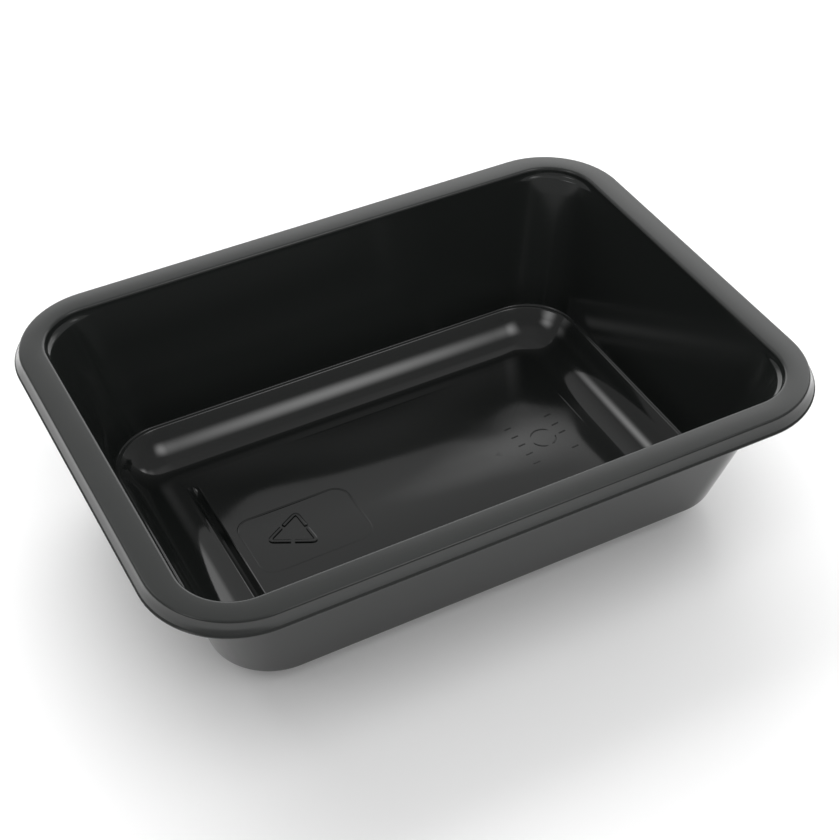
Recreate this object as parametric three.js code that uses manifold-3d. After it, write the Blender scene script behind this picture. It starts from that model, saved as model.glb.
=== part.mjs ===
// Rectangular food tray, formed in one piece from thin black polyester sheet.
// Millimetres, +Z up, X along the length. The origin is the middle of the base, at the height of
// the surface that the tray stands on.
//
// The tray is one closed skin. Its section is a list of levels, each a rectangle with rounded
// corners: from the floor panel up the inside, over the sealing flange, down its skirt and back
// along the underside. Every level has the same number of points, so neighbours join in a strip.

import * as THREE from "three";
import { ConvexGeometry } from "three/addons/geometries/ConvexGeometry.js";
import { mergeVertices } from "three/addons/utils/BufferGeometryUtils.js";
import Module from "manifold-3d";

// ---- driving dimensions -------------------------------------------------------------------------

const WALL_THICKNESS = 0.5;
const FLANGE_THICKNESS = 0.7;
const LEDGE_THICKNESS = 0.4;

// Levels of the upper skin, from the middle of the floor outwards: half length x, half width y,
// corner radius r, height z.
const PANEL_EDGE = { x: 57.2, y: 33.1, r: 3.5, z: 1.1 };
const BEAD_INNER = { x: 58.5, y: 34.4, r: 4, z: 1.1 };
const BEAD_OUTER = { x: 59.3, y: 35.2, r: 4.3, z: 1.1 };
const COVE_TOP = { x: 73.25, y: 49.15, r: 16.5, z: 8.9 };
const WALL_FOOT = { x: 74.1, y: 50, r: 16.5, z: 8.97 };
const MOUTH = { x: 84.5, y: 59.7, r: 14.5, z: 49.1 };
const FLANGE_INNER = { x: 85.4, y: 60.6, r: 15.4, z: 50 };
const FLANGE_OUTER = { x: 91.4, y: 66.4, r: 23.1, z: 50 };
const SKIRT_TOP = { x: 92.1, y: 67.1, r: 23.9, z: 49.2 };
const SKIRT_FOOT = { x: 93.1, y: 68.1, r: 24.6, z: 46.7 };
const LIP = { x: 93.5, y: 68.5, r: 25, z: 46.35 };

// The underside's soft slope from the floor panel down to the bead, as shares of its way.
const SLOPE = [{ across: 0.3, height: 0.2 }, { across: 0.7, height: 0.8 }];

// The skirt's lip flares out a little. Its cut edge: how far it drops, and how far its inner side
// lies inside its outer side.
const LIP_CUT = { drop: 0.35, depth: 0.7 };

// A small sloped step in the corners of the wall, just below the mouth. The straight walls run past
// it without a break.
const STEP_FOOT = { r: 16.7, z: 47.3 };
const STEP_TOP = { r: 14.4, z: 47.9 };

// The cove ends in a straight flank at this angle.
const FLANK_ANGLE = THREE.MathUtils.degToRad(50);

// A V-shaped groove across the floor panel, and the rib that it makes underneath.
const GROOVE = { x: -54.8, halfWidth: 1.44, footHalfWidth: 0.02, halfLength: 29, taper: 5, depth: 0.95 };
const RIB = { halfWidth: 1.9, footHalfWidth: 0.3, halfLength: 29.4 };

// How far ribs and marks reach into the sheet, and how close two points may lie.
const OVERLAP = 0.1;
const MERGE_DISTANCE = 0.0001;

// Low marks moulded on the floor panel, all ridges along a line: the outline of a plate, three bars
// bent round the corners of a triangle on it, a broken dial, and dashes on both sides of the dial.
const MARK_HEIGHT = 0.1;
const BAR_HEIGHT = 0.2;
const PLATE = { x: -33.8, y: -0.8, length: 33.6, width: 22.4, radius: 4.5, line: 0.6 };
const BARS = { corners: [[-44.7, -0.3], [-33.2, 6.5], [-32.6, -6.8]], gap: 1.1, width: 1.1 };
const DIAL = { x: 43.2, y: 0.2, radius: 3.7, line: 0.5, arcs: [[35, 150], [-75, -10], [190, 265]] };
const DASHES = {
  length: 2.2,
  width: 0.5,
  radius: 0.2,
  columns: [{ x: 36.1, rows: [8.5, 4.4, 0.3, -4, -8.2] }, { x: 49.4, rows: [8.2, 3.8, -0.2, -7.5] }],
};

const CORNER_STEPS = 10;
const COVE_STEPS = 6;
const FILLET_STEPS = 3;
const MARK_STEPS = 5;

// ---- levels of the section ----------------------------------------------------------------------

// A level moved outwards and up, its corners staying concentric.
function shifted(level, out, up) {
  return { x: level.x + out, y: level.y + out, r: level.r + out, z: level.z + up };
}

// A level part of the way between two others, with a fraction of its own for the height.
function between(from, to, across, height) {
  const mix = THREE.MathUtils.lerp;
  return {
    x: mix(from.x, to.x, across),
    y: mix(from.y, to.y, across),
    r: mix(from.r, to.r, across),
    z: mix(from.z, to.z, height),
  };
}

// A level of the straight wall at the height of an edge of the corner step, with its radius.
function onWall(edge) {
  const share = (edge.z - WALL_FOOT.z) / (MOUTH.z - WALL_FOOT.z);
  return { ...between(WALL_FOOT, MOUTH, share, share), r: edge.r };
}

// The floor panel's edge and the slope from it to the standing bead, on the underside.
function floorLevels(edge, bead) {
  const slope = SLOPE.map(({ across, height }) => between(edge, bead, across, height));
  return [edge, ...slope, bead];
}

// The cove from the standing bead to its top: an arc that leaves the bead level and runs into the
// straight flank. With run = radius sin + flank cos and rise = radius (1 - cos) + flank sin, the
// radius follows from the two ends.
function coveLevels(start, top) {
  const run = top.x - start.x;
  const rise = top.z - start.z;
  const sin = Math.sin(FLANK_ANGLE);
  const cos = Math.cos(FLANK_ANGLE);
  const radius = (run * sin - rise * cos) / (1 - cos);
  const levels = [];
  for (let step = 0; step <= COVE_STEPS; step += 1) {
    const turn = (FLANK_ANGLE * step) / COVE_STEPS;
    const level = between(start, top, (radius * Math.sin(turn)) / run, 0);
    levels.push(shifted(level, 0, radius * (1 - Math.cos(turn))));
  }
  return [...levels, top];
}

// A quarter-round from one level to the next; it starts level or upright.
function filletLevels(from, to, startsLevel) {
  const levels = [];
  for (let step = 0; step <= FILLET_STEPS; step += 1) {
    const turn = (Math.PI / 2) * (step / FILLET_STEPS);
    const slow = 1 - Math.cos(turn);
    const fast = Math.sin(turn);
    levels.push(startsLevel ? between(from, to, fast, slow) : between(from, to, slow, fast));
  }
  return levels;
}

function upperLevels() {
  return [
    PANEL_EDGE,
    BEAD_INNER,
    ...coveLevels(BEAD_OUTER, COVE_TOP),
    WALL_FOOT,
    onWall(STEP_FOOT),
    onWall(STEP_TOP),
    ...filletLevels(MOUTH, FLANGE_INNER, false),
    ...filletLevels(FLANGE_OUTER, SKIRT_TOP, true),
    SKIRT_FOOT,
    LIP,
  ];
}

// The underside follows the upper skin, a sheet's thickness below and outside it. Only the bead is
// thicker, down to the surface that the tray stands on.
function lowerLevels() {
  const lipEdge = shifted(LIP, 0, -LIP_CUT.drop);
  const underCoveTop = shifted(
    COVE_TOP,
    WALL_THICKNESS * Math.sin(FLANK_ANGLE),
    -WALL_THICKNESS * Math.cos(FLANK_ANGLE),
  );
  const beadOuter = { ...BEAD_OUTER, z: 0 };
  const beadInner = { ...BEAD_INNER, z: 0 };
  return [
    lipEdge,
    shifted(lipEdge, -LIP_CUT.depth, 0),
    shifted(FLANGE_OUTER, 0, -FLANGE_THICKNESS),
    shifted(FLANGE_INNER, WALL_THICKNESS, -FLANGE_THICKNESS),
    shifted(MOUTH, WALL_THICKNESS, -FLANGE_THICKNESS),
    shifted(onWall(STEP_TOP), WALL_THICKNESS, -WALL_THICKNESS),
    shifted(onWall(STEP_FOOT), WALL_THICKNESS, -WALL_THICKNESS),
    shifted(WALL_FOOT, WALL_THICKNESS, -WALL_THICKNESS / 2),
    shifted(WALL_FOOT, WALL_THICKNESS / 2, -LEDGE_THICKNESS),
    ...coveLevels(beadOuter, underCoveTop).reverse(),
    ...floorLevels(shifted(PANEL_EDGE, 0, -WALL_THICKNESS), beadInner).reverse(),
  ];
}

// ---- the skin -----------------------------------------------------------------------------------

// The points of one level, corner by corner, anticlockwise from above.
function outline(level) {
  const points = [];
  for (let corner = 0; corner < 4; corner += 1) {
    const start = (corner * Math.PI) / 2;
    const centreX = (level.x - level.r) * Math.sign(Math.cos(start + Math.PI / 4));
    const centreY = (level.y - level.r) * Math.sign(Math.sin(start + Math.PI / 4));
    for (let step = 0; step <= CORNER_STEPS; step += 1) {
      const angle = start + (Math.PI / 2) * (step / CORNER_STEPS);
      points.push(centreX + level.r * Math.cos(angle), centreY + level.r * Math.sin(angle), level.z);
    }
  }
  return points;
}

// Strips between neighbouring levels, and a fan over the first level and the last one.
function skinGeometry(levels) {
  const count = 4 * (CORNER_STEPS + 1);
  const last = (levels.length - 1) * count;
  const positions = levels.flatMap(outline);
  const upperMiddle = positions.length / 3;
  const lowerMiddle = upperMiddle + 1;
  positions.push(0, 0, levels.at(0).z, 0, 0, levels.at(-1).z);
  const indices = [];
  for (let point = 0; point < count; point += 1) {
    const next = (point + 1) % count;
    for (let level = 0; level < last; level += count) {
      const a = level + point;
      const b = level + next;
      indices.push(a, a + count, b, b, a + count, b + count);
    }
    indices.push(upperMiddle, point, next);
    indices.push(lowerMiddle, last + next, last + point);
  }
  const geometry = new THREE.BufferGeometry();
  geometry.setAttribute("position", new THREE.Float32BufferAttribute(positions, 3));
  geometry.setIndex(indices);
  return geometry;
}

// ---- groove and marks ---------------------------------------------------------------------------

// A keel along Y with pointed ends, wide at its top and narrow along its foot.
function keelGeometry(x, halfWidth, footHalfWidth, halfLength, top, foot) {
  const points = [];
  for (const end of [-1, 1]) {
    for (const side of [-1, 1]) {
      const y = end * (halfLength - GROOVE.taper);
      points.push(new THREE.Vector3(x + side * halfWidth, y, top));
      points.push(new THREE.Vector3(x + side * footHalfWidth, y, foot));
    }
    points.push(new THREE.Vector3(x, end * halfLength, top));
  }
  return new ConvexGeometry(points);
}

// A flat mark that stands on the floor panel and reaches into it.
function markGeometry(shape, height) {
  const geometry = new THREE.ExtrudeGeometry(shape, {
    depth: height + OVERLAP,
    bevelEnabled: false,
    curveSegments: MARK_STEPS,
  });
  geometry.translate(0, 0, PANEL_EDGE.z - OVERLAP);
  return geometry;
}

// A bar along X with rounded corners, its middle on the origin.
function roundedBar(length, width, radius) {
  const x = length / 2 - radius;
  const y = width / 2 - radius;
  const shape = new THREE.Shape();
  shape.absarc(x, -y, radius, -Math.PI / 2, 0);
  shape.absarc(x, y, radius, 0, Math.PI / 2);
  shape.absarc(-x, y, radius, Math.PI / 2, Math.PI);
  shape.absarc(-x, -y, radius, Math.PI, Math.PI * 1.5);
  shape.closePath();
  return shape;
}

function plateLine() {
  const { length, width, radius, line } = PLATE;
  const shape = roundedBar(length + line, width + line, radius + line / 2);
  shape.holes.push(roundedBar(length - line, width - line, radius - line / 2));
  return markGeometry(shape, MARK_HEIGHT).translate(PLATE.x, PLATE.y, 0);
}

// A bar bent round one corner of the triangle. Its outline runs round the outer corner, along the
// first arm and back, round the inner corner, and along the second arm and back.
function bentBar(corner, neighbours) {
  const half = BARS.width / 2;
  const bend = new THREE.Vector2(...corner);
  const sides = neighbours.map((other) => new THREE.Vector2(...other).sub(bend));
  const arms = sides.map((side) => side.clone().normalize());
  const inwards = arms[0].clone().add(arms[1]).normalize();
  const mitre = half / Math.abs(inwards.cross(arms[0]));
  const [first, second] = sides.map((side, index) => {
    const end = arms[index].clone().multiplyScalar((side.length() - BARS.gap) / 2);
    const across = inwards.clone().addScaledVector(arms[index], -inwards.dot(arms[index])).setLength(half);
    return { outer: end.clone().sub(across), inner: end.clone().add(across) };
  });
  const outline = [
    inwards.clone().multiplyScalar(-mitre),
    first.outer,
    first.inner,
    inwards.clone().multiplyScalar(mitre),
    second.inner,
    second.outer,
  ];
  return markGeometry(new THREE.Shape(outline), BAR_HEIGHT).translate(bend.x, bend.y, 0);
}

function dialArc(from, to) {
  const start = THREE.MathUtils.degToRad(from);
  const end = THREE.MathUtils.degToRad(to);
  const shape = new THREE.Shape();
  shape.absarc(0, 0, DIAL.radius + DIAL.line / 2, start, end);
  shape.absarc(0, 0, DIAL.radius - DIAL.line / 2, end, start, true);
  shape.closePath();
  return markGeometry(shape, MARK_HEIGHT).translate(DIAL.x, DIAL.y, 0);
}

function markGeometries() {
  const dash = roundedBar(DASHES.length, DASHES.width, DASHES.radius);
  const corners = BARS.corners;
  return [
    plateLine(),
    ...corners.map((corner) => bentBar(corner, corners.filter((other) => other !== corner))),
    ...DIAL.arcs.map(([from, to]) => dialArc(from, to)),
    ...DASHES.columns.flatMap(({ x, rows }) => (
      rows.map((y) => markGeometry(dash, MARK_HEIGHT).translate(x, y, 0))
    )),
  ];
}

// ---- joining and cutting ------------------------------------------------------------------------

const wasm = await Module();
wasm.setup();

function solid(geometry) {
  const bare = geometry.clone();
  bare.deleteAttribute("normal");
  bare.deleteAttribute("uv");
  const merged = mergeVertices(bare, MERGE_DISTANCE);
  return new wasm.Manifold(new wasm.Mesh({
    numProp: 3,
    vertProperties: new Float32Array(merged.attributes.position.array),
    triVerts: new Uint32Array(merged.index.array),
  }));
}

function geometryOf(manifold) {
  const mesh = manifold.getMesh();
  const geometry = new THREE.BufferGeometry();
  geometry.setAttribute("position", new THREE.BufferAttribute(mesh.vertProperties, 3));
  geometry.setIndex(new THREE.BufferAttribute(mesh.triVerts, 1));
  geometry.computeVertexNormals();
  return geometry;
}

function trayGeometry() {
  const top = PANEL_EDGE.z;
  const under = top - WALL_THICKNESS;
  const rib = keelGeometry(GROOVE.x, RIB.halfWidth, RIB.footHalfWidth, RIB.halfLength, under + OVERLAP, 0);
  const groove = keelGeometry(
    GROOVE.x,
    GROOVE.halfWidth,
    GROOVE.footHalfWidth,
    GROOVE.halfLength,
    top,
    top - GROOVE.depth,
  );
  let tray = solid(skinGeometry([...upperLevels(), ...lowerLevels()]));
  tray = tray.add(solid(rib)).subtract(solid(groove));
  for (const mark of markGeometries()) {
    tray = tray.add(solid(mark));
  }
  return geometryOf(tray);
}

// ---- the tray -----------------------------------------------------------------------------------

const blackSheet = new THREE.MeshStandardMaterial({ color: 0x141615, roughness: 0.12, metalness: 0 });

const tray = new THREE.Mesh(trayGeometry(), blackSheet);
tray.name = "tray";

const foodTray = new THREE.Group();
foodTray.add(tray);

export default foodTray;
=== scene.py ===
"""Black plastic food tray on a pale floor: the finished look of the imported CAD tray.

Everything is in metres, in the CAD frame: X along the tray, Y across it, Z up, the origin in the
middle of the base on the floor. Sizes are written in millimetres and turned to metres as they
enter the meshes.
"""

import math

import bpy
import numpy as np
from mathutils import Matrix, Vector


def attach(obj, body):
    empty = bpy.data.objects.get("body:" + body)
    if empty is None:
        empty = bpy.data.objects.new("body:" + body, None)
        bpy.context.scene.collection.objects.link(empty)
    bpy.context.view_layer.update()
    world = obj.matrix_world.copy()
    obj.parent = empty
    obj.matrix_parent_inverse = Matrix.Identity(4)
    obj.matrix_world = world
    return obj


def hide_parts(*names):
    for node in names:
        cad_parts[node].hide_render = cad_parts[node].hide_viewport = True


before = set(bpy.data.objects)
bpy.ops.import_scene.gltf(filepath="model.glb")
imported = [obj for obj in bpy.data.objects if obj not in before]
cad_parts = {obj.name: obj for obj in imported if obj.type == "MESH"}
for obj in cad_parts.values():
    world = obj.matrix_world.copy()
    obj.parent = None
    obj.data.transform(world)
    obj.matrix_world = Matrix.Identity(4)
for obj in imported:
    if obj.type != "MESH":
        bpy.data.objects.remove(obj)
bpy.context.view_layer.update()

MM = 0.001

# ---- camera --------------------------------------------------------------------------------------

# Angles in degrees, the azimuth counted from -Y towards +X.
CAMERA_AZIMUTH = -27.412
CAMERA_ELEVATION = 41.753
CAMERA_ROLL = 0.656
CAMERA_DISTANCE = 468.30
CAMERA_TARGET = (1.310, -2.767, 28.057)
CAMERA_LENS = 73.90
CAMERA_SENSOR = 36
CAMERA_CLIPPING = (10, 50000)

# ---- sheet and section ---------------------------------------------------------------------------

WALL_THICKNESS = 0.5
LEDGE_THICKNESS = 0.4
FLANGE_THICKNESS = 0.7

# Levels of the upper skin from the middle of the floor outwards: half length, half width, corner
# radius, height. The same levels as in the CAD solid.
PANEL_EDGE = (57.2, 33.1, 3.5, 1.1)
BEAD_INNER = (58.5, 34.4, 4.0, 1.1)
BEAD_OUTER = (59.3, 35.2, 4.3, 1.1)
COVE_TOP = (73.25, 49.15, 16.5, 8.9)
WALL_FOOT = (74.1, 50.0, 16.5, 8.97)
MOUTH = (84.5, 59.7, 14.5, 49.1)
FLANGE_INNER = (85.4, 60.6, 15.4, 50.0)
FLANGE_OUTER = (91.4, 66.4, 23.1, 50.0)
SKIRT_TOP = (92.1, 67.1, 23.9, 49.2)
SKIRT_FOOT = (93.1, 68.1, 24.6, 46.7)
LIP = (93.5, 68.5, 25.0, 46.35)

# The cove's slope where it ends.
FLANK_ANGLE = math.radians(50)

# The lip's outer edge is cut upright and its underside is level: the height and the width of these.
LIP_CUT = 0.35
LIP_DEPTH = 0.7

# A small sloped step in the corners of the wall, just below the mouth: its two edges' heights and
# corner radii, and the height at which the wall begins to turn into it. The straight walls run past
# it without a break.
STEP_APPROACH = 46.6
STEP_FOOT = (47.3, 16.7)
STEP_TOP = (47.9, 14.4)

# How far each rounded edge of the section is cut back, as shares of the ways to its neighbours.
COVE_TOP_ROUND = (0.1, 0.4)
WALL_FOOT_ROUND = (0.4, 0.012)
STEP_FOOT_ROUND = (0.5, 0.3)
STEP_TOP_ROUND = (0.3, 0.25)
SKIRT_FOOT_ROUND = (0.1, 0.4)
LIP_ROUND = (0.5, 0.2)
LIP_EDGE_ROUND = (0.3, 0.05)
UNDER_RIM_OUTER_ROUND = (0.1, 0.1)
UNDER_RIM_INNER_ROUND = (0.1, 0.4)
UNDER_WALL_FOOT_ROUND = (0.01, 0.5)
UNDER_LEDGE_ROUND = (0.4, 0.4)

# Extra rings on the walls, as shares of the way up inside and of the way down outside.
INSIDE_RINGS = (0.05, 0.15, 0.3, 0.45, 0.6, 0.75, 0.88)
OUTSIDE_RINGS = (0.04, 0.12, 0.25, 0.4, 0.55, 0.7, 0.85, 0.95)

# Rings of the floor panel, as insets from its edge: wide apart in the middle, and evenly close-set
# in the zone where the groove runs. Inside the core's half width they keep the panel's own corners.
PANEL_INSETS = (32.6, 30, 28, 26, 24, 22, 20, 18, 16, 14, 12, 10, 8.5, 7, 6, 5.2)
PANEL_CORE = 28
PANEL_LEAST_RADIUS = 0.8
GROOVE_ZONE = 4.4
GROOVE_ZONE_RINGS = 55
BEAD_RINGS = 6

# Points on every level: in each corner and along each side.
CORNER_POINTS = 20
SIDE_POINTS = 28

# Edges sharper than this stay crisp in the smooth shading.
SHARP_ANGLE = math.radians(40)

# ---- floor panel ---------------------------------------------------------------------------------

# The groove across the floor panel near its left end, its raised lips, and the rib underneath.
GROOVE_X = -54.8
GROOVE_HALF_WIDTH = 1.44
GROOVE_HALF_LENGTH = 29.0
GROOVE_TAPER = 5.0
GROOVE_DEPTH = 0.95
GROOVE_LIP_HEIGHT = 0.07
GROOVE_LIP_HALF_WIDTH = 0.36
RIB_HALF_WIDTH = 1.9
RIB_DEPTH = 0.6

# The thin panel's slight warp: the half sizes at which it is held, the half lengths of its waves,
# and their heights.
WARP_HELD = (58, 34)
WARP_WAVES = (60, 36)
DOME_HEIGHT = 0.315
DOME_HOLLOW = 0.151
TWIST_HEIGHT = 0.09
RIPPLE_HEIGHT = 0.277
SHORT_RIPPLE_HEIGHT = 0.134

# The part of the skin that the groove and the warp move: a margin past the panel's edge, the
# greatest height, and how far below the panel its upper side still reaches.
PRESSED_MARGIN = 0.1
PRESSED_CEILING = 1.5
PRESSED_UPPER_DEPTH = 0.25

# Low marks moulded on the floor panel. Every mark is a flat-topped ridge along a path, and its
# height is a share of its half width.
PLATE_RISE = 0.22
SMALL_RISE = 0.4
BAR_RISE = 0.65

# The plate: its least X and Y and its greatest, its corner radius, and its outline's half width,
# which is smaller along the front.
PLATE_BOX = (-50.6, -12.0, -17.0, 10.4)
PLATE_RADIUS = 4.5
PLATE_HALF_WIDTH = 0.34
PLATE_FRONT_SHARE = 0.4

# Three bars on the plate, bent round the corners of a triangle, with gaps between their ends. The
# bend of each begins at the reach from its corner.
BENT_BAR_CORNERS = ((-44.7, -0.3), (-33.2, 6.5), (-32.6, -6.8))
BENT_BAR_GAP = 1.1
BENT_BAR_HALF_WIDTH = 0.55
BENT_BAR_REACH = 1.9
BENT_BAR_STEPS = 6

# The dial's arcs, by the angles of their ends in degrees, and the dashes in two columns beside it,
# each column with its X and the Y of its dashes.
DIAL = (43.2, 0.2)
DIAL_RADIUS = 3.7
DIAL_ARCS = ((35, 150), (-75, -10), (190, 265))
DASH_COLUMNS = ((36.1, (8.5, 4.4, 0.3, -4.0, -8.2)), (49.4, (8.2, 3.8, -0.2, -7.5)))
DASH_HALF_LENGTH = 1.1
DASH_SLANT = 0.1
SMALL_HALF_WIDTH = 0.22

# The arcs' narrow ends: the share of the width at the very end, and the share of the length that
# it takes to grow to the full width.
END_WIDTH_SHARE = 0.25
END_LENGTH_SHARE = 0.15

# The ridge's section, in half widths: its top's width, and the round of its shoulders.
RIDGE_TOP = 1.2
RIDGE_ROUND = 0.15
RIDGE_ROUND_POINTS = 3

# ---- studio --------------------------------------------------------------------------------------

# Half the side of the floor.
FLOOR_HALF_SIDE = 4000

# Brightness of the room at elevations in degrees: of the sweep behind the tray, of its sides, and
# of the room in front of it.
SWEEP_SHADES = ((0, 1.7), (35, 1.7), (41, 0.62), (56, 0.56), (66, 0.42), (90, 0.44))
SIDE_SHADES = ((0, 0.6), (10, 0.4), (30, 0.33), (66, 0.36), (90, 0.42))
FRONT_SHADES = ((0, 0.4), (14, 0.36), (24, 0.3), (60, 0.3), (70, 0.4), (90, 0.42))

# The middle of the sweep and of the front, as azimuths counted from +Y towards +X, and how many
# degrees to the side each begins to fade and is gone.
SWEEP_AZIMUTH = -CAMERA_AZIMUTH
SWEEP_WIDTH = (30, 50)
FRONT_AZIMUTH = -170
FRONT_WIDTH = (50, 80)

# The sweep's upper edge rises a little towards the right.
SWEEP_SLANT = -0.25


def mix(a, b, t):
    """A number part of the way from one to another."""
    return a + (b - a) * t


def between(start, end, across, height=None):
    """A level part of the way from one level to another, with its own share of the height."""
    height = across if height is None else height
    shares = (across, across, across, height)
    return tuple(mix(a, b, t) for a, b, t in zip(start, end, shares))


def shifted(level, out, up):
    """A level moved outwards and up, with its corners kept concentric."""
    return (level[0] + out, level[1] + out, level[2] + out, level[3] + up)


def softened(before, corner, after, reach, steps=4):
    """The corner of the section as a small round that reaches towards both of its neighbours."""
    start = between(corner, before, reach[0])
    end = between(corner, after, reach[1])
    levels = []
    for step in range(steps + 1):
        t = step / steps
        levels.append(between(between(start, corner, t), between(corner, end, t), t))
    return levels


def on_wall(height, radius):
    """A level of the straight wall at a height, with a corner radius of its own."""
    share = (height - WALL_FOOT[3]) / (MOUTH[3] - WALL_FOOT[3])
    x, y, _, z = between(WALL_FOOT, MOUTH, share)
    return (x, y, radius, z)


def cove(start, top, steps=22):
    """Arc that leaves the standing bead level and runs into the straight flank."""
    run = top[0] - start[0]
    rise = top[3] - start[3]
    sin, cos = math.sin(FLANK_ANGLE), math.cos(FLANK_ANGLE)
    radius = (run * sin - rise * cos) / (1 - cos)
    levels = []
    for step in range(steps + 1):
        turn = FLANK_ANGLE * step / steps
        level = between(start, top, radius * math.sin(turn) / run, 0)
        levels.append(shifted(level, 0, radius * (1 - math.cos(turn))))
    return levels


def quarter_round(start, end, starts_level, steps=6):
    """A quarter-round from one level to the next; it starts level or upright."""
    levels = []
    for step in range(steps + 1):
        turn = math.pi / 2 * step / steps
        slow, fast = 1 - math.cos(turn), math.sin(turn)
        across, height = (fast, slow) if starts_level else (slow, fast)
        levels.append(between(start, end, across, height))
    return levels


def panel(edge, bead):
    """Floor panel from near its middle out to the bead, close-set where the groove runs."""
    zone = [GROOVE_ZONE * (1 - ring / GROOVE_ZONE_RINGS) for ring in range(GROOVE_ZONE_RINGS + 1)]
    levels = []
    for inset in (*PANEL_INSETS, *zone):
        x, y, radius, z = shifted(edge, -inset, 0)
        least = min(edge[2], y) if y < PANEL_CORE else PANEL_LEAST_RADIUS
        levels.append((x, y, max(radius, least), z))
    for ring in range(1, BEAD_RINGS + 1):
        t = ring / BEAD_RINGS
        levels.append(between(edge, bead, t, t * t * (3 - 2 * t)))
    return levels


def corner_step(out, up):
    """The small step in the corners of the wall, with rounded edges."""
    wall, foot, top, mouth = (
        shifted(level, out, up)
        for level in (
            on_wall(STEP_APPROACH, STEP_FOOT[1]),
            on_wall(*STEP_FOOT),
            on_wall(*STEP_TOP),
            MOUTH,
        )
    )
    return softened(wall, foot, top, STEP_FOOT_ROUND) + softened(foot, top, mouth, STEP_TOP_ROUND)


def upper_skin():
    """Levels from the middle of the floor up the inside, over the flange and down to the lip."""
    cove_arc = cove(BEAD_OUTER, COVE_TOP)
    foot = on_wall(*STEP_FOOT)
    skirt_middle = between(SKIRT_TOP, SKIRT_FOOT, 0.5)
    return (
        panel(PANEL_EDGE, BEAD_INNER)
        + cove_arc
        + softened(cove_arc[-1], COVE_TOP, WALL_FOOT, COVE_TOP_ROUND)
        + softened(COVE_TOP, WALL_FOOT, foot, WALL_FOOT_ROUND)
        + [between(WALL_FOOT, foot, share) for share in INSIDE_RINGS]
        + corner_step(0, 0)
        + quarter_round(MOUTH, FLANGE_INNER, False)
        + quarter_round(FLANGE_OUTER, SKIRT_TOP, True)
        + [skirt_middle]
        + softened(skirt_middle, SKIRT_FOOT, LIP, SKIRT_FOOT_ROUND)
        + [LIP]
    )


def lower_skin():
    """Levels from the lip back along the underside, a sheet's thickness away from the upper skin.

    Only the bead is thicker, down to the floor that the tray stands on."""
    edge = shifted(LIP, 0, -LIP_CUT)
    inner_edge = shifted(edge, -LIP_DEPTH, 0)
    under_outer = shifted(FLANGE_OUTER, 0, -FLANGE_THICKNESS)
    under_inner = shifted(FLANGE_INNER, WALL_THICKNESS, -FLANGE_THICKNESS)
    mouth = shifted(MOUTH, WALL_THICKNESS, -FLANGE_THICKNESS)
    wall_top = shifted(on_wall(*STEP_FOOT), WALL_THICKNESS, -WALL_THICKNESS)
    wall_foot = shifted(WALL_FOOT, WALL_THICKNESS, -WALL_THICKNESS / 2)
    ledge = shifted(WALL_FOOT, WALL_THICKNESS / 2, -LEDGE_THICKNESS)
    flank_top = shifted(
        COVE_TOP, WALL_THICKNESS * math.sin(FLANK_ANGLE), -WALL_THICKNESS * math.cos(FLANK_ANGLE)
    )
    bead_outer = (*BEAD_OUTER[:3], 0)
    bead_inner = (*BEAD_INNER[:3], 0)
    return (
        softened(LIP, edge, inner_edge, LIP_ROUND)
        + softened(edge, inner_edge, under_outer, LIP_EDGE_ROUND)
        + softened(inner_edge, under_outer, under_inner, UNDER_RIM_OUTER_ROUND)
        + softened(under_outer, under_inner, mouth, UNDER_RIM_INNER_ROUND)
        + corner_step(WALL_THICKNESS, -WALL_THICKNESS)[::-1]
        + [between(wall_top, wall_foot, share) for share in OUTSIDE_RINGS]
        + softened(wall_top, wall_foot, ledge, UNDER_WALL_FOOT_ROUND)
        + softened(wall_foot, ledge, flank_top, UNDER_LEDGE_ROUND)
        + cove(bead_outer, flank_top)[::-1]
        + panel(shifted(PANEL_EDGE, 0, -WALL_THICKNESS), bead_inner)[::-1]
    )


# ---- nodes and meshes ----------------------------------------------------------------------------


def add_node(tree, kind, settings=None, inputs=()):
    """One node with its properties set, and its inputs set to values or linked.

    Inputs are named in a dictionary or stand in order in a list. A socket is linked as it is, and
    a node by its first output."""
    node = tree.nodes.new(kind)
    for name, value in (settings or {}).items():
        setattr(node, name, value)
    for key, value in inputs.items() if isinstance(inputs, dict) else enumerate(inputs):
        if isinstance(value, bpy.types.Node):
            value = value.outputs[0]
        if isinstance(value, bpy.types.NodeSocket):
            tree.links.new(value, node.inputs[key])
        else:
            node.inputs[key].default_value = value
    return node


def new_tree(name, inputs):
    """A geometry tree with an input for every name and type, and one geometry output.

    It comes with the sockets that its inputs are read from."""
    tree = bpy.data.node_groups.new(name, "GeometryNodeTree")
    for socket, kind in {"Geometry": "Geometry", **inputs}.items():
        tree.interface.new_socket(socket, in_out="INPUT", socket_type="NodeSocket" + kind)
    tree.interface.new_socket("Geometry", in_out="OUTPUT", socket_type="NodeSocketGeometry")
    return tree, add_node(tree, "NodeGroupInput").outputs


def finish_tree(tree, shape, material):
    """Ends a geometry tree: the shape is made real, gets its material and goes out."""
    real = add_node(tree, "GeometryNodeRealizeInstances", inputs=[shape])
    coated = add_node(
        tree, "GeometryNodeSetMaterial", inputs={"Geometry": real, "Material": material}
    )
    add_node(tree, "NodeGroupOutput", inputs=[coated])
    return tree


def chain(name, points, edges, sizes):
    """Points and edges on an object; `sizes` holds named numbers in millimetres for the points."""
    mesh = bpy.data.meshes.new(name)
    mesh.from_pydata([[number * MM for number in point] for point in points], edges, [])
    for size, values in sizes.items():
        layer = mesh.attributes.new(size, "FLOAT", "POINT")
        layer.data.foreach_set("value", [value * MM for value in values])
    item = bpy.data.objects.new(name, mesh)
    bpy.context.scene.collection.objects.link(item)
    return item


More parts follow.
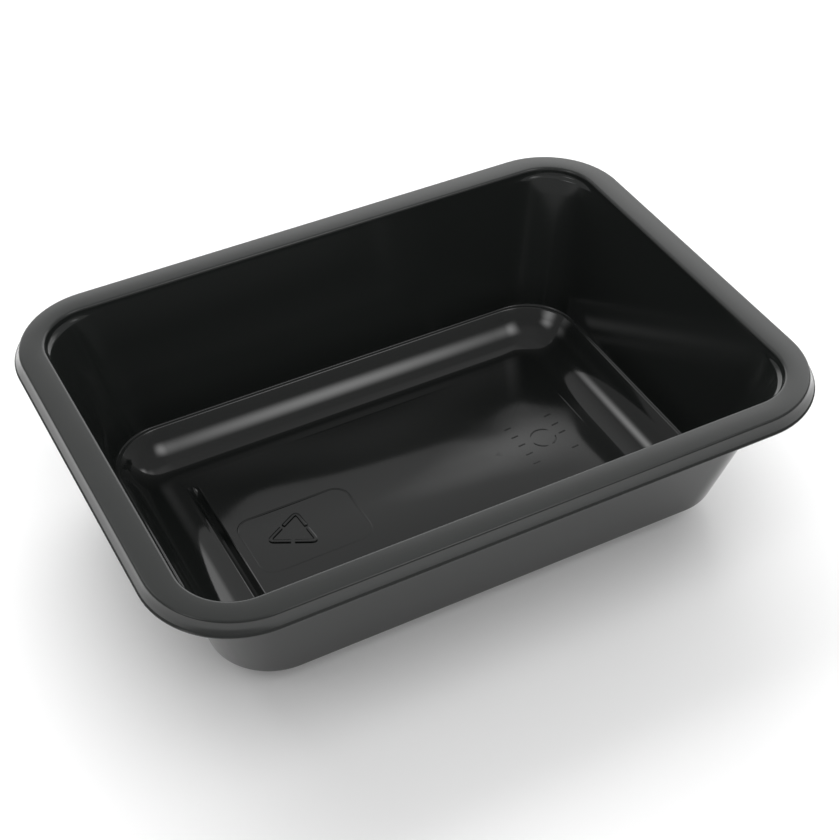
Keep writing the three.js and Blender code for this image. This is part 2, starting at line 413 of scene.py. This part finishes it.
def grown(item, name, tree, values):
    """The object that a tree makes of an item, as a plain mesh. Values go by the inputs' names."""
    modifier = item.modifiers.new(name, "NODES")
    modifier.node_group = tree
    for socket in tree.interface.items_tree:
        if socket.in_out == "INPUT" and socket.name in values:
            modifier[socket.identifier] = values[socket.name]
    graph = bpy.context.evaluated_depsgraph_get()
    mesh = bpy.data.meshes.new_from_object(item.evaluated_get(graph))
    source = item.data
    bpy.data.objects.remove(item)
    bpy.data.meshes.remove(source)
    mesh.name = name
    made = bpy.data.objects.new(name, mesh)
    bpy.context.scene.collection.objects.link(made)
    return made


def points_of(mesh):
    """The mesh's points in millimetres, one row for each."""
    points = np.empty(len(mesh.vertices) * 3)
    mesh.vertices.foreach_get("co", points)
    return points.reshape(-1, 3) / MM


def set_points(mesh, points):
    """Moves the mesh's points, given in millimetres, and smooths it between its crisp edges."""
    mesh.vertices.foreach_set("co", (points * MM).ravel())
    mesh.polygons.foreach_set("use_smooth", [True] * len(mesh.polygons))
    mesh.set_sharp_from_angle(angle=SHARP_ANGLE)
    mesh.update()


# ---- materials -----------------------------------------------------------------------------------


def linear(hex_colour):
    """An sRGB hex colour as linear red, green, blue and alpha."""
    channels = [int(hex_colour[i : i + 2], 16) / 255 for i in (1, 3, 5)]
    curve = [c / 12.92 if c <= 0.04045 else ((c + 0.055) / 1.055) ** 2.4 for c in channels]
    return (*curve, 1.0)


def crystallised_polyester():
    """Crystallised PET sheet, pressed hot over a polished mould: black through and through, with a
    hard gloss whose reflections waver slightly, because the sheet draws unevenly as it forms."""
    material = bpy.data.materials.new("crystallised_polyester_moulded")
    material.use_nodes = True
    tree = material.node_tree
    shader = tree.nodes["Principled BSDF"]
    shader.inputs["IOR"].default_value = 1.57
    place = add_node(tree, "ShaderNodeTexCoord").outputs["Object"]
    height = add_node(tree, "ShaderNodeSeparateXYZ", inputs=[place]).outputs["Z"]
    # Painted shade: the black is darkest low down, in the tray and by the table, and greys up the
    # walls.
    rise_for_painted_shade_and_dulling = add_node(
        tree,
        "ShaderNodeMapRange",
        inputs={
            "Value": height,
            "From Min": BEAD_OUTER[3] * MM,
            "From Max": 2 * WALL_FOOT[3] * MM,
        },
    )
    black = add_node(
        tree,
        "ShaderNodeMix",
        {"data_type": "RGBA"},
        {"Factor": rise_for_painted_shade_and_dulling, 6: linear("#0b0d0c"), 7: linear("#1d1f1e")},
    )
    tree.links.new(black.outputs[2], shader.inputs["Base Color"])
    # Slow waves about 18 mm long, from the drawing of the sheet.
    waves = add_node(
        tree,
        "ShaderNodeTexNoise",
        inputs={"Vector": place, "Scale": 1 / (18 * MM), "Detail": 1.0, "Roughness": 0.4},
    )
    wave_bump = add_node(
        tree,
        "ShaderNodeBump",
        inputs={"Strength": 0.5, "Distance": 0.05 * MM, "Height": waves},
    )
    # The fine skin of the mould, about 0.5 mm, which softens the edges of reflections.
    skin = add_node(
        tree,
        "ShaderNodeTexNoise",
        inputs={"Vector": place, "Scale": 1 / (0.5 * MM), "Detail": 2.0, "Roughness": 0.5},
    )
    skin_bump = add_node(
        tree,
        "ShaderNodeBump",
        inputs={"Strength": 0.12, "Distance": 0.004 * MM, "Height": skin, "Normal": wave_bump},
    )
    tree.links.new(skin_bump.outputs["Normal"], shader.inputs["Normal"])
    # Handling leaves the gloss a little uneven, in patches about 12 mm wide.
    patches = add_node(
        tree,
        "ShaderNodeTexNoise",
        inputs={"Vector": place, "Scale": 1 / (12 * MM), "Detail": 3.0, "Roughness": 0.55},
    )
    gloss = add_node(
        tree,
        "ShaderNodeMapRange",
        inputs={"Value": patches, "To Min": 0.04, "To Max": 0.09},
    )
    # The drawn walls lift off the mould first and lose a little of its polish.
    dulled = add_node(tree, "ShaderNodeMath", {"operation": "MULTIPLY_ADD"}, [rise_for_painted_shade_and_dulling, 0.06, gloss])
    # The rim is clamped by the cooler frame of the mould, which leaves its top satin.
    satin = add_node(
        tree,
        "ShaderNodeMapRange",
        inputs={
            "Value": height,
            "From Min": (FLANGE_INNER[3] - 0.8) * MM,
            "From Max": (FLANGE_INNER[3] - 0.2) * MM,
            "To Min": 0.0,
            "To Max": 0.1,
        },
    )
    roughness = add_node(tree, "ShaderNodeMath", {"operation": "ADD"}, [dulled, satin])
    tree.links.new(roughness.outputs[0], shader.inputs["Roughness"])
    return material


def matt_white_paint():
    """Smooth matt white paint of a studio table."""
    material = bpy.data.materials.new("matt_white_paint")
    material.use_nodes = True
    shader = material.node_tree.nodes["Principled BSDF"]
    shader.inputs["Base Color"].default_value = linear("#f4f4f4")
    shader.inputs["Roughness"].default_value = 0.9
    return material


# ---- the shell -----------------------------------------------------------------------------------


def loft_tree():
    """Lofts the section line round rectangles with rounded corners into one closed skin.

    A plain cylinder gives the strips and both ends. Its rings become the levels of the section,
    and its points go round each level: a corner, a straight side, the next corner."""
    tree, given = new_tree(
        "tray_loft", {"Corner Points": "Int", "Side Points": "Int", "Material": "Material"}
    )
    section, corner_points, side_points = given[0], given["Corner Points"], given["Side Points"]
    levels = add_node(tree, "GeometryNodeAttributeDomainSize", inputs=[section])
    strips = add_node(
        tree, "ShaderNodeMath", {"operation": "SUBTRACT"}, [levels.outputs["Point Count"], 1.0]
    )
    quarter = add_node(tree, "ShaderNodeMath", {"operation": "ADD"}, [corner_points, side_points])
    around = add_node(tree, "ShaderNodeMath", {"operation": "MULTIPLY"}, [quarter, 4.0])
    tube = add_node(
        tree,
        "GeometryNodeMeshCylinder",
        {"fill_type": "NGON"},
        {"Vertices": around, "Side Segments": strips},
    )

    # A point's level, its place on it, the corner that starts its quarter, and its step from there.
    index = add_node(tree, "GeometryNodeInputIndex")
    turns = add_node(tree, "ShaderNodeMath", {"operation": "DIVIDE"}, [index, around])
    level = add_node(tree, "ShaderNodeMath", {"operation": "FLOOR"}, [turns])
    place = add_node(tree, "ShaderNodeMath", {"operation": "MODULO"}, [index, around])
    quarters = add_node(tree, "ShaderNodeMath", {"operation": "DIVIDE"}, [place, quarter])
    corner = add_node(tree, "ShaderNodeMath", {"operation": "FLOOR"}, [quarters])
    step = add_node(tree, "ShaderNodeMath", {"operation": "MODULO"}, [place, quarter])

    # How far the point has turned in its corner, and then how far it is along the side.
    turning = add_node(tree, "ShaderNodeMath", {"operation": "DIVIDE"}, [step, corner_points])
    turned = add_node(tree, "ShaderNodeMath", {"operation": "MINIMUM"}, [turning, 1.0])
    past = add_node(tree, "ShaderNodeMath", {"operation": "SUBTRACT"}, [step, corner_points])
    passing = add_node(tree, "ShaderNodeMath", {"operation": "DIVIDE"}, [past, side_points])
    along = add_node(tree, "ShaderNodeMath", {"operation": "MAXIMUM"}, [passing, 0.0])

    # The direction from the corner's centre, and the diagonals through this corner and the next.
    right_angle = math.pi / 2
    rights = add_node(tree, "ShaderNodeMath", {"operation": "ADD"}, [corner, turned])
    angle = add_node(tree, "ShaderNodeMath", {"operation": "MULTIPLY"}, [rights, right_angle])
    here = add_node(
        tree,
        "ShaderNodeMath",
        {"operation": "MULTIPLY_ADD"},
        [corner, right_angle, right_angle / 2],
    )
    after = add_node(tree, "ShaderNodeMath", {"operation": "ADD"}, [here, right_angle])

    def from_section(name):
        """A size that the section's points carry, read at this point's level."""
        named = add_node(
            tree, "GeometryNodeInputNamedAttribute", {"data_type": "FLOAT"}, {"Name": name}
        )
        return add_node(
            tree,
            "GeometryNodeSampleIndex",
            {"data_type": "FLOAT", "domain": "POINT"},
            {"Geometry": section, "Value": named, "Index": level},
        )

    def coordinate(wave, half_size):
        """X with the cosine and Y with the sine: the middle of the corner's arc, which slides to
        the next corner along the side, and the radius in the point's direction."""
        signs = []
        for diagonal in (here, after):
            reach = add_node(tree, "ShaderNodeMath", {"operation": wave}, [diagonal])
            signs.append(add_node(tree, "ShaderNodeMath", {"operation": "SIGN"}, [reach]))
        change = add_node(tree, "ShaderNodeMath", {"operation": "SUBTRACT"}, [signs[1], signs[0]])
        side = add_node(
            tree, "ShaderNodeMath", {"operation": "MULTIPLY_ADD"}, [change, along, signs[0]]
        )
        radius = from_section("corner_radius")
        inner = add_node(
            tree, "ShaderNodeMath", {"operation": "SUBTRACT"}, [from_section(half_size), radius]
        )
        centre = add_node(tree, "ShaderNodeMath", {"operation": "MULTIPLY"}, [side, inner])
        out = add_node(tree, "ShaderNodeMath", {"operation": wave}, [angle])
        return add_node(
            tree, "ShaderNodeMath", {"operation": "MULTIPLY_ADD"}, [radius, out, centre]
        )

    position = add_node(tree, "GeometryNodeInputPosition")
    section_point = add_node(
        tree,
        "GeometryNodeSampleIndex",
        {"data_type": "FLOAT_VECTOR", "domain": "POINT"},
        {"Geometry": section, "Value": position, "Index": level},
    )
    height = add_node(tree, "ShaderNodeSeparateXYZ", inputs=[section_point]).outputs["Z"]
    x, y = coordinate("COSINE", "half_length"), coordinate("SINE", "half_width")
    point = add_node(tree, "ShaderNodeCombineXYZ", inputs=[x, y, height])
    skin = add_node(tree, "GeometryNodeSetPosition", inputs={"Geometry": tube, "Position": point})
    return finish_tree(tree, skin, given["Material"])


def tent(distance, half_width):
    """One on the line, falling straight to nought at half the width."""
    return np.clip(1 - np.abs(distance) / half_width, 0, 1)


def groove_ends(y):
    """One along the groove, falling to nought over its tapered ends."""
    return np.sin(np.clip((GROOVE_HALF_LENGTH - np.abs(y)) / GROOVE_TAPER, 0, 1) * math.pi / 2)


def groove_depth(x, y):
    """The V of the groove between two small rounded lips, in millimetres below the panel."""
    across = np.abs(x - GROOVE_X)
    from_lip = np.clip(np.abs(across - GROOVE_HALF_WIDTH) / GROOVE_LIP_HALF_WIDTH, 0, 1)
    lip = GROOVE_LIP_HEIGHT * (1 + np.cos(math.pi * from_lip)) / 2
    return groove_ends(y) * (GROOVE_DEPTH * tent(across, GROOVE_HALF_WIDTH) - lip)


def floor_warp(x, y):
    """How far the thin floor panel stands off true, in millimetres: slow waves held by the rim."""
    held = [np.clip(1 - (way / size) ** 4, 0, 1) for way, size in zip((x, y), WARP_HELD)]
    u, v = (math.pi * way / wave for way, wave in zip((x, y), WARP_WAVES))
    dome = np.cos(u) * (DOME_HEIGHT * np.cos(v) - DOME_HOLLOW * np.cos(2 * v))
    twist = TWIST_HEIGHT * np.sin(u) * np.cos(v)
    ripple = RIPPLE_HEIGHT * np.sin(v) + SHORT_RIPPLE_HEIGHT * np.sin(2 * v)
    return held[0] * held[1] * (dome + twist - ripple)


def pressed(points):
    """The lofted skin's points with the groove, the rib and the panel's slight warp."""
    x, y, z = points.T
    length, width, _, height = PANEL_EDGE
    inside = (np.abs(x) < length + PRESSED_MARGIN) & (np.abs(y) < width + PRESSED_MARGIN)
    inside &= z < PRESSED_CEILING
    upper = inside & (z > height - PRESSED_UPPER_DEPTH)
    lower = inside & ~upper
    rib = RIB_DEPTH * groove_ends(y) * tent(x - GROOVE_X, RIB_HALF_WIDTH)
    z = z + np.where(inside, floor_warp(x, y), 0)
    z = z - np.where(upper, groove_depth(x, y), 0) - np.where(lower, rib, 0)
    return np.column_stack((x, y, np.maximum(z, 0)))


def make_shell(material):
    """The whole tray but its marks. The section is a chain with a point for every level."""
    lengths, widths, radii, heights = zip(*upper_skin(), *lower_skin())
    section = chain(
        "tray_section",
        [(0, 0, height) for height in heights],
        [],
        {"half_length": lengths, "half_width": widths, "corner_radius": radii},
    )
    values = {"Corner Points": CORNER_POINTS, "Side Points": SIDE_POINTS, "Material": material}
    shell = grown(section, "tray_shell", loft_tree(), values)
    set_points(shell.data, pressed(points_of(shell.data)))
    return shell


# ---- marks on the floor panel --------------------------------------------------------------------


def mix_spots(start, end, share):
    """The spot part of the way from one spot to another."""
    return (mix(start[0], end[0], share), mix(start[1], end[1], share))


def part_way(start, end, distance):
    """The spot at a distance from one spot towards another."""
    return mix_spots(start, end, distance / math.dist(start, end))


def arc(middle, radius, start, end, steps=10):
    """Spots on an arc, its ends in degrees."""
    turns = [math.radians(mix(start, end, step / steps)) for step in range(steps + 1)]
    return [(middle[0] + radius * math.cos(t), middle[1] + radius * math.sin(t)) for t in turns]


def rounded_box(box, radius):
    """A closed path round a box with rounded corners."""
    x0, y0, x1, y1 = box
    centres = [
        (x1 - radius, y1 - radius),
        (x0 + radius, y1 - radius),
        (x0 + radius, y0 + radius),
        (x1 - radius, y0 + radius),
    ]
    path = []
    for corner, middle in enumerate(centres):
        path += arc(middle, radius, 90 * corner, 90 * corner + 90, 8)
    return path + path[:1]


def bent_bar(before, corner, after):
    """A bar bent round one corner of the triangle, from half way along one side to the other."""
    ends = [
        part_way(corner, other, (math.dist(corner, other) - BENT_BAR_GAP) / 2)
        for other in (before, after)
    ]
    near = [part_way(corner, end, BENT_BAR_REACH) for end in ends]
    path = [ends[0]]
    for step in range(BENT_BAR_STEPS + 1):
        t = step / BENT_BAR_STEPS
        path.append(mix_spots(mix_spots(near[0], corner, t), mix_spots(corner, near[1], t), t))
    return path + [ends[1]]


def even(path, half_width):
    """A path with the same half width at every spot."""
    return [(spot, half_width) for spot in path]


def tapered(path, half_width):
    """A path with a half width at every spot, narrow at both ends."""
    last = len(path) - 1
    mark = []
    for place, spot in enumerate(path):
        from_end = min(place, last - place) / last
        share = min(1.0, mix(END_WIDTH_SHARE, 1, from_end / END_LENGTH_SHARE))
        mark.append((spot, half_width * share))
    return mark


def plate_marks():
    """The plate's outline, widest along its back and thinner towards its front."""
    front, back = PLATE_BOX[1], PLATE_BOX[3]
    mark = []
    for spot in rounded_box(PLATE_BOX, PLATE_RADIUS):
        share = mix(PLATE_FRONT_SHARE, 1, (spot[1] - front) / (back - front))
        mark.append((spot, PLATE_HALF_WIDTH * share))
    return [mark]


def small_marks():
    """The broken dial and the dashes beside it."""
    marks = [tapered(arc(DIAL, DIAL_RADIUS, *ends), SMALL_HALF_WIDTH) for ends in DIAL_ARCS]
    for x, rows in DASH_COLUMNS:
        for y in rows:
            start = (x - DASH_HALF_LENGTH, y - DASH_SLANT)
            end = (x + DASH_HALF_LENGTH, y + DASH_SLANT)
            marks.append(even([start, end], SMALL_HALF_WIDTH))
    return marks


def bar_marks():
    """The three bars bent round the corners of a triangle."""
    first, second, third = BENT_BAR_CORNERS
    turns = ((third, first, second), (first, second, third), (second, third, first))
    return [even(bent_bar(*corners), BENT_BAR_HALF_WIDTH) for corners in turns]


def ridge_tree():
    """Flat-topped ridges with rounded shoulders along chains of edges, half sunk in the floor."""
    tree, given = new_tree("floor_marks", {"Rise": "Float", "Top": "Float", "Material": "Material"})
    paths = add_node(tree, "GeometryNodeMeshToCurve", inputs={"Mesh": given[0]})
    upright = add_node(tree, "GeometryNodeSetCurveNormal", {"mode": "Z_UP"}, {"Curve": paths})
    half_width = add_node(
        tree, "GeometryNodeInputNamedAttribute", {"data_type": "FLOAT"}, {"Name": "half_width"}
    )
    depth = add_node(tree, "ShaderNodeMath", {"operation": "MULTIPLY"}, [given["Rise"], 2.0])
    box = add_node(
        tree,
        "GeometryNodeCurvePrimitiveQuadrilateral",
        {"mode": "TRAPEZOID"},
        {"Bottom Width": 2.0, "Top Width": given["Top"], "Offset": 0.0, "Height": depth},
    )
    profile = add_node(
        tree,
        "GeometryNodeFilletCurve",
        {"mode": "POLY"},
        {
            "Curve": box,
            "Count": RIDGE_ROUND_POINTS,
            "Radius": RIDGE_ROUND,
            "Limit Radius": True,
        },
    )
    ridges = add_node(
        tree,
        "GeometryNodeCurveToMesh",
        inputs={
            "Curve": upright,
            "Profile Curve": profile,
            "Scale": half_width,
            "Fill Caps": True,
        },
    )
    return finish_tree(tree, ridges, given["Material"])


def make_marks(name, marks, rise, tree, material):
    """One piece of ridges on the warped floor panel, from paths with a half width at every spot."""
    points, edges, widths = [], [], []
    for mark in marks:
        first = len(points)
        points += [(x, y, 0) for (x, y), _ in mark]
        widths += [width for _, width in mark]
        edges += [(place, place + 1) for place in range(first, len(points) - 1)]
    paths = chain(name, points, edges, {"half_width": widths})
    ridges = grown(paths, name, tree, {"Rise": rise, "Top": RIDGE_TOP, "Material": material})
    points = points_of(ridges.data)
    points[:, 2] += PANEL_EDGE[3] + floor_warp(points[:, 0], points[:, 1])
    set_points(ridges.data, points)
    return ridges


# ---- scene ---------------------------------------------------------------------------------------


def floor_sheet():
    """The pale floor that the tray stands on."""
    half = FLOOR_HALF_SIDE * MM
    mesh = bpy.data.meshes.new("floor")
    corners = [(-half, -half, 0), (half, -half, 0), (half, half, 0), (-half, half, 0)]
    mesh.from_pydata(corners, [], [(0, 1, 2, 3)])
    mesh.materials.append(matt_white_paint())
    sheet = bpy.data.objects.new("floor", mesh)
    bpy.context.scene.collection.objects.link(sheet)


def soft_light(name, way, distance, size, radiance, edge, facing=None, mirrored=True, spread=True):
    """A rectangular softbox, brightest in its middle and fading over the share `edge` of each side.

    It stands in the direction `way` from the tray and faces back along `facing`, or else `way`.
    Gloss shows it where it is mirrored, and matt surfaces take its light where it is spread."""
    data = bpy.data.lights.new(name, "AREA")
    data.shape = "RECTANGLE"
    data.size, data.size_y = size[0] * MM, size[1] * MM
    # An area light's radiance is its power over its area and pi.
    data.energy = radiance * math.pi * data.size * data.size_y
    data.use_nodes = True
    place = Vector(way).normalized() * distance * MM
    turn = (-Vector(facing or way)).to_track_quat("-Z", "Y")
    tree = data.node_tree
    here = add_node(tree, "ShaderNodeNewGeometry").outputs["Position"]
    offset = add_node(tree, "ShaderNodeVectorMath", {"operation": "SUBTRACT"}, [here, place])
    fade = 1.0
    for axis, length in ((Vector((1, 0, 0)), data.size), (Vector((0, 1, 0)), data.size_y)):
        along = add_node(
            tree, "ShaderNodeVectorMath", {"operation": "DOT_PRODUCT"}, [offset, turn @ axis]
        ).outputs["Value"]
        off_middle = add_node(tree, "ShaderNodeMath", {"operation": "ABSOLUTE"}, [along])
        share = add_node(
            tree,
            "ShaderNodeMapRange",
            {"interpolation_type": "SMOOTHSTEP"},
            {
                "Value": off_middle,
                "From Min": length * (1 - edge) / 2,
                "From Max": length / 2,
                "To Min": 1,
                "To Max": 0,
            },
        )
        fade = add_node(tree, "ShaderNodeMath", {"operation": "MULTIPLY"}, [share, fade])
    tree.links.new(fade.outputs[0], tree.nodes["Emission"].inputs["Strength"])
    light = bpy.data.objects.new(name, data)
    light.location = place
    light.rotation_euler = turn.to_euler()
    light.visible_glossy = mirrored
    light.visible_diffuse = spread
    bpy.context.scene.collection.objects.link(light)


def studio_walls():
    """A white sweep behind the tray, dim walls at its sides, and a dark room in front of it."""
    world = bpy.data.worlds.new("studio")
    world.use_nodes = True
    bpy.context.scene.world = world
    tree = world.node_tree
    way = add_node(tree, "ShaderNodeTexCoord").outputs["Generated"]
    up = add_node(tree, "ShaderNodeSeparateXYZ", inputs=[way]).outputs["Z"]
    # The level part of the direction; a hair more than one keeps it above nought overhead.
    squared = add_node(tree, "ShaderNodeMath", {"operation": "POWER"}, [up, 2.0])
    rest = add_node(tree, "ShaderNodeMath", {"operation": "SUBTRACT"}, [1.001, squared])
    level = add_node(tree, "ShaderNodeMath", {"operation": "SQRT"}, [rest])

    def towards(azimuth):
        """How far the direction points towards an azimuth."""
        turn = math.radians(azimuth)
        flat = (math.sin(turn), math.cos(turn), 0)
        return add_node(
            tree, "ShaderNodeVectorMath", {"operation": "DOT_PRODUCT"}, [way, flat]
        ).outputs["Value"]

    def shades(height, stops):
        """Greys that follow the height of the direction."""
        ramp = add_node(tree, "ShaderNodeValToRGB", inputs=[height])
        elements = ramp.color_ramp.elements
        while len(elements) < len(stops):
            elements.new(0.5)
        for element, (degrees, grey) in zip(elements, stops):
            element.position = max(0.0, math.sin(math.radians(degrees)))
            element.color = (grey, grey, grey, 1)
        return ramp.outputs["Color"]

    def near(azimuth, width):
        """One in the middle of a span of azimuths, falling to nought where the span ends."""
        inner, outer = width
        cosine = add_node(
            tree, "ShaderNodeMath", {"operation": "DIVIDE"}, [towards(azimuth), level]
        )
        return add_node(
            tree,
            "ShaderNodeMapRange",
            {"interpolation_type": "SMOOTHSTEP"},
            {
                "Value": cosine,
                "From Min": math.cos(math.radians(outer)),
                "From Max": math.cos(math.radians(inner)),
            },
        )

    sweep_height = add_node(
        tree,
        "ShaderNodeMath",
        {"operation": "MULTIPLY_ADD"},
        [towards(SWEEP_AZIMUTH + 90), SWEEP_SLANT, up],
    )
    walls = shades(up, SIDE_SHADES)
    for share, shade in (
        (near(FRONT_AZIMUTH, FRONT_WIDTH), shades(up, FRONT_SHADES)),
        (near(SWEEP_AZIMUTH, SWEEP_WIDTH), shades(sweep_height, SWEEP_SHADES)),
    ):
        walls = add_node(
            tree, "ShaderNodeMix", {"data_type": "RGBA"}, {"Factor": share, 6: walls, 7: shade}
        ).outputs[2]
    tree.links.new(walls, tree.nodes["Background"].inputs["Color"])
    tree.nodes["Background"].inputs["Strength"].default_value = 1.0


def place_camera():
    """The camera, faced towards its target and then rolled."""
    data = bpy.data.cameras.new("camera")
    data.lens = CAMERA_LENS
    data.sensor_width = CAMERA_SENSOR
    data.clip_start, data.clip_end = (distance * MM for distance in CAMERA_CLIPPING)
    camera = bpy.data.objects.new("camera", data)
    a, e = math.radians(CAMERA_AZIMUTH), math.radians(CAMERA_ELEVATION)
    back = Vector((math.sin(a) * math.cos(e), -math.cos(a) * math.cos(e), math.sin(e)))
    turn = (-back).to_track_quat("-Z", "Y").to_matrix().to_4x4()
    roll = Matrix.Rotation(math.radians(-CAMERA_ROLL), 4, "Z")
    spot = (Vector(CAMERA_TARGET) + back * CAMERA_DISTANCE) * MM
    camera.matrix_world = Matrix.Translation(spot) @ turn @ roll
    bpy.context.scene.collection.objects.link(camera)
    bpy.context.scene.camera = camera


place_camera()
floor_sheet()
studio_walls()
bpy.context.scene.view_settings.view_transform = "Standard"

# Four softboxes that the gloss mirrors, and two broad fills that only light matt surfaces. The key
# is only mirrored, so that the tray's shadow falls towards the camera.
soft_light(
    "key_softbox",
    way=(0.31, -0.40, 0.87),
    facing=(0, -0.40, 0.87),
    distance=1100,
    size=(640, 720),
    radiance=3.2,
    edge=1.0,
    spread=False,
)
soft_light(
    "left_softbox",
    way=(-0.67, -0.08, 0.74),
    facing=(-0.67, 0, 0.74),
    distance=1100,
    size=(620, 560),
    radiance=2.6,
    edge=1.0,
)
soft_light(
    "back_softbox",
    way=(-0.26, 0.59, 0.77),
    distance=1100,
    size=(360, 360),
    radiance=3.0,
    edge=1.0,
)
soft_light(
    "right_softbox",
    way=(0.76, 0.30, 0.57),
    distance=1100,
    size=(300, 300),
    radiance=2.5,
    edge=1.0,
)
soft_light(
    "back_fill",
    way=(0.1, 0.75, 0.6),
    distance=1700,
    size=(2400, 1400),
    radiance=3.3,
    edge=0.2,
    mirrored=False,
)
soft_light(
    "front_fill",
    way=(0.1, -0.5, 0.85),
    distance=1600,
    size=(2400, 2400),
    radiance=1.4,
    edge=0.2,
    mirrored=False,
)

polyester = crystallised_polyester()

shell = make_shell(polyester)
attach(shell, "root")
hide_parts("tray")

ridges = ridge_tree()
for name, paths, rise in (
    ("plate_line", plate_marks(), PLATE_RISE),
    ("small_marks", small_marks(), SMALL_RISE),
    ("bent_bars", bar_marks(), BAR_RISE),
):
    marks = make_marks(name, paths, rise, ridges, polyester)
    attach(marks, "root")
